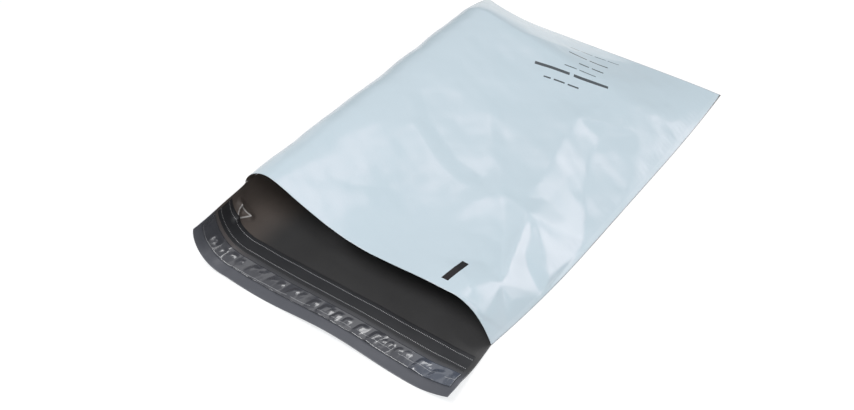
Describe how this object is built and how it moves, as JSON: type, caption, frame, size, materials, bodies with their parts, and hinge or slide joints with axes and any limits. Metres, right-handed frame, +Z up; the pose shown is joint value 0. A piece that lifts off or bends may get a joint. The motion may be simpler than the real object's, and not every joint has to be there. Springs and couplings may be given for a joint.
{
  "type": "mailing bag",
  "caption": "Open plastic mailing bag with a welded film pouch, a closing lip, a tear strip and a lined adhesive band, lying on its back with its mouth gaping",
  "frame": {"origin": "middle of the bounding box on the table that the bag lies on", "axes": "+Y runs from the closing lip to the folded closed end, +X to the side that lies flat, +Z up through the front panel"},
  "size_m": [0.2378, 0.402, 0.0504],
  "materials": {
    "film": "glossy pale blue-grey outside, black inside",
    "tear_tape": "satin",
    "adhesive": "glossy",
    "liner": "glossy, rippled"
  },
  "bodies": {
    "root": {"film_bag": "film", "tear_strip": "tear_tape", "adhesive_strip": "adhesive", "release_liner": "liner"}
  },
  "joints": []
}
